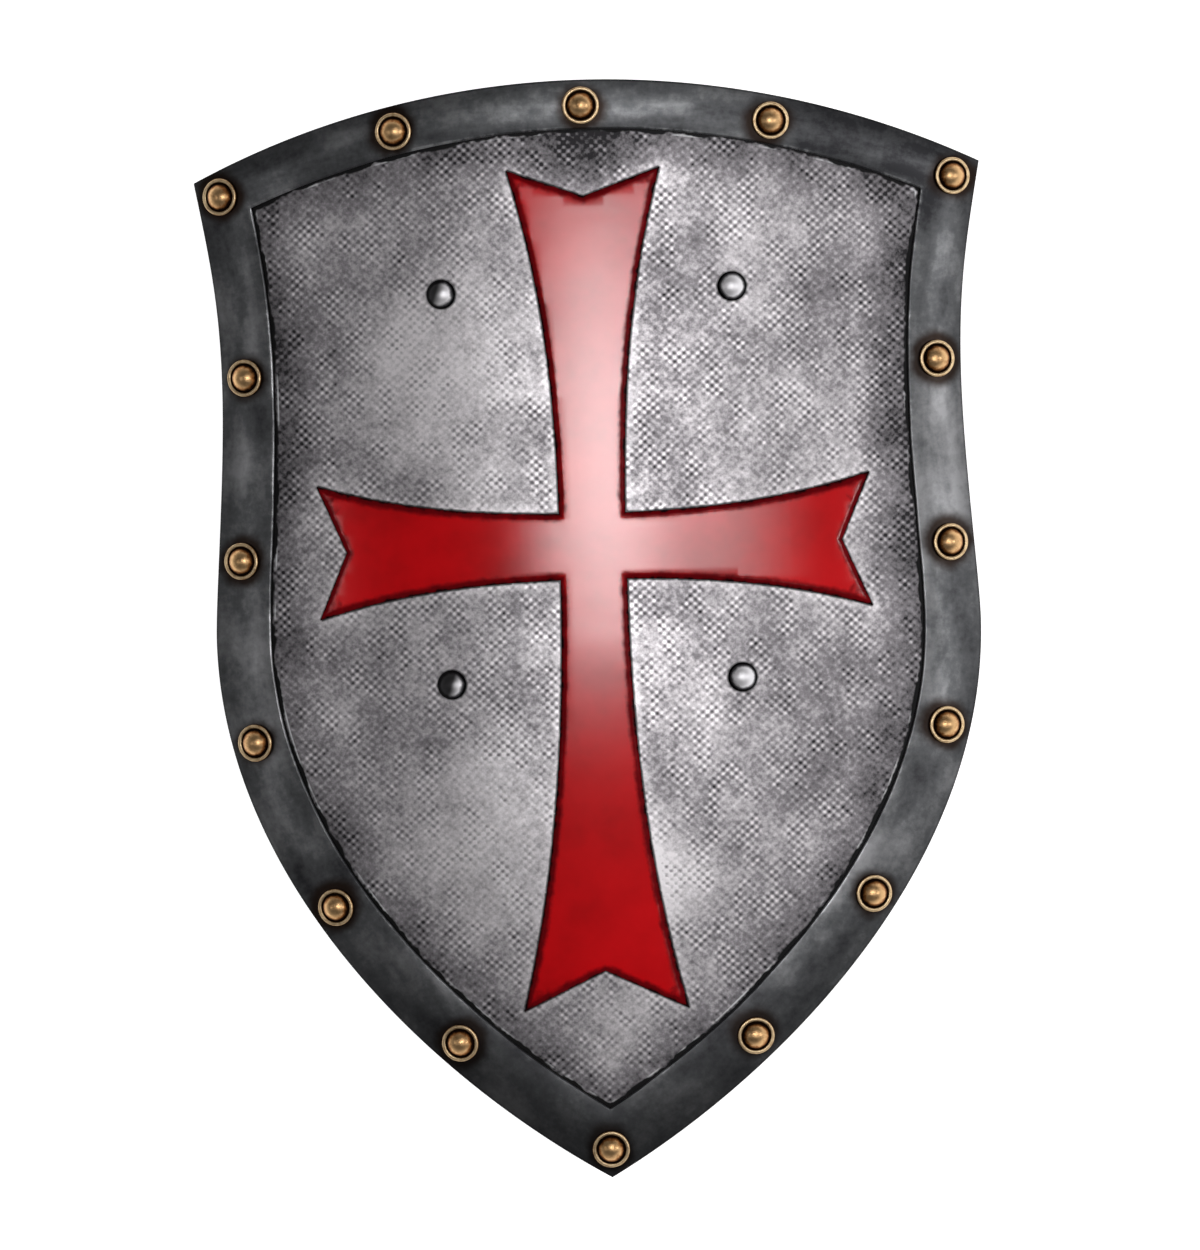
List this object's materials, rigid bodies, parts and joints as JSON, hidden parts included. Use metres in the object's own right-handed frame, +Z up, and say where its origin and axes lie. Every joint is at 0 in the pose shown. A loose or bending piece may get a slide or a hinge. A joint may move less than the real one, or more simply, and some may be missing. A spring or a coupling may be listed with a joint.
{
  "type": "medieval heater shield",
  "caption": "Steel heater shield with a riveted dark border band, a dimpled steel field, a raised red cross and leather arm straps on its hollow back.",
  "frame": {"origin": "middle of the shield's length and width, on the ground it lies on", "axes": "+X across the shield to the viewer's right, +Y along it towards the top edge, +Z up, out of its painted face"},
  "size_m": [0.4608, 0.6402, 0.0644],
  "materials": {
    "dimpled_steel": "satin steel with a fine pressed dimple pattern, dulled towards the border",
    "dark_steel": "blackened steel, worn bright along its inner edge",
    "red_enamel": "glossy red enamel, blackened along its bevelled edges",
    "aged_brass": "aged brass, polished on top of the domes",
    "worn_brass": "worn pale brass with dark tarnish in the groove",
    "bright_steel": "bright steel dome",
    "grey_steel": "plain grey steel",
    "brown_leather": "oiled brown leather with waxed edges"
  },
  "bodies": {
    "root": {"shield_plate": "dimpled_steel", "border_band": "dark_steel", "cross": "red_enamel", "forearm_strap": "brown_leather", "grip_strap": "brown_leather", "border_rivet_01": "aged_brass", "border_rivet_02": "aged_brass", "border_rivet_03": "aged_brass", "border_rivet_04": "aged_brass", "border_rivet_05": "aged_brass", "border_rivet_06": "aged_brass", "border_rivet_07": "aged_brass", "border_rivet_08": "aged_brass", "border_rivet_09": "aged_brass", "border_rivet_10": "aged_brass", "border_rivet_11": "aged_brass", "border_rivet_12": "aged_brass", "border_rivet_13": "aged_brass", "border_rivet_14": "aged_brass", "border_rivet_15": "aged_brass", "border_rivet_16": "aged_brass", "rivet_washer_01": "worn_brass", "rivet_washer_02": "worn_brass", "rivet_washer_03": "worn_brass", "rivet_washer_04": "worn_brass", "rivet_washer_05": "worn_brass", "rivet_washer_06": "worn_brass", "rivet_washer_07": "worn_brass", "rivet_washer_08": "worn_brass", "rivet_washer_09": "worn_brass", "rivet_washer_10": "worn_brass", "rivet_washer_11": "worn_brass", "rivet_washer_12": "worn_brass", "rivet_washer_13": "worn_brass", "rivet_washer_14": "worn_brass", "rivet_washer_15": "worn_brass", "rivet_washer_16": "worn_brass", "strap_rivet_1": "bright_steel", "strap_rivet_2": "bright_steel", "strap_rivet_3": "bright_steel", "strap_rivet_4": "bright_steel", "strap_burr_1": "grey_steel", "strap_burr_2": "grey_steel", "strap_burr_3": "grey_steel", "strap_burr_4": "grey_steel"}
  },
  "joints": []
}
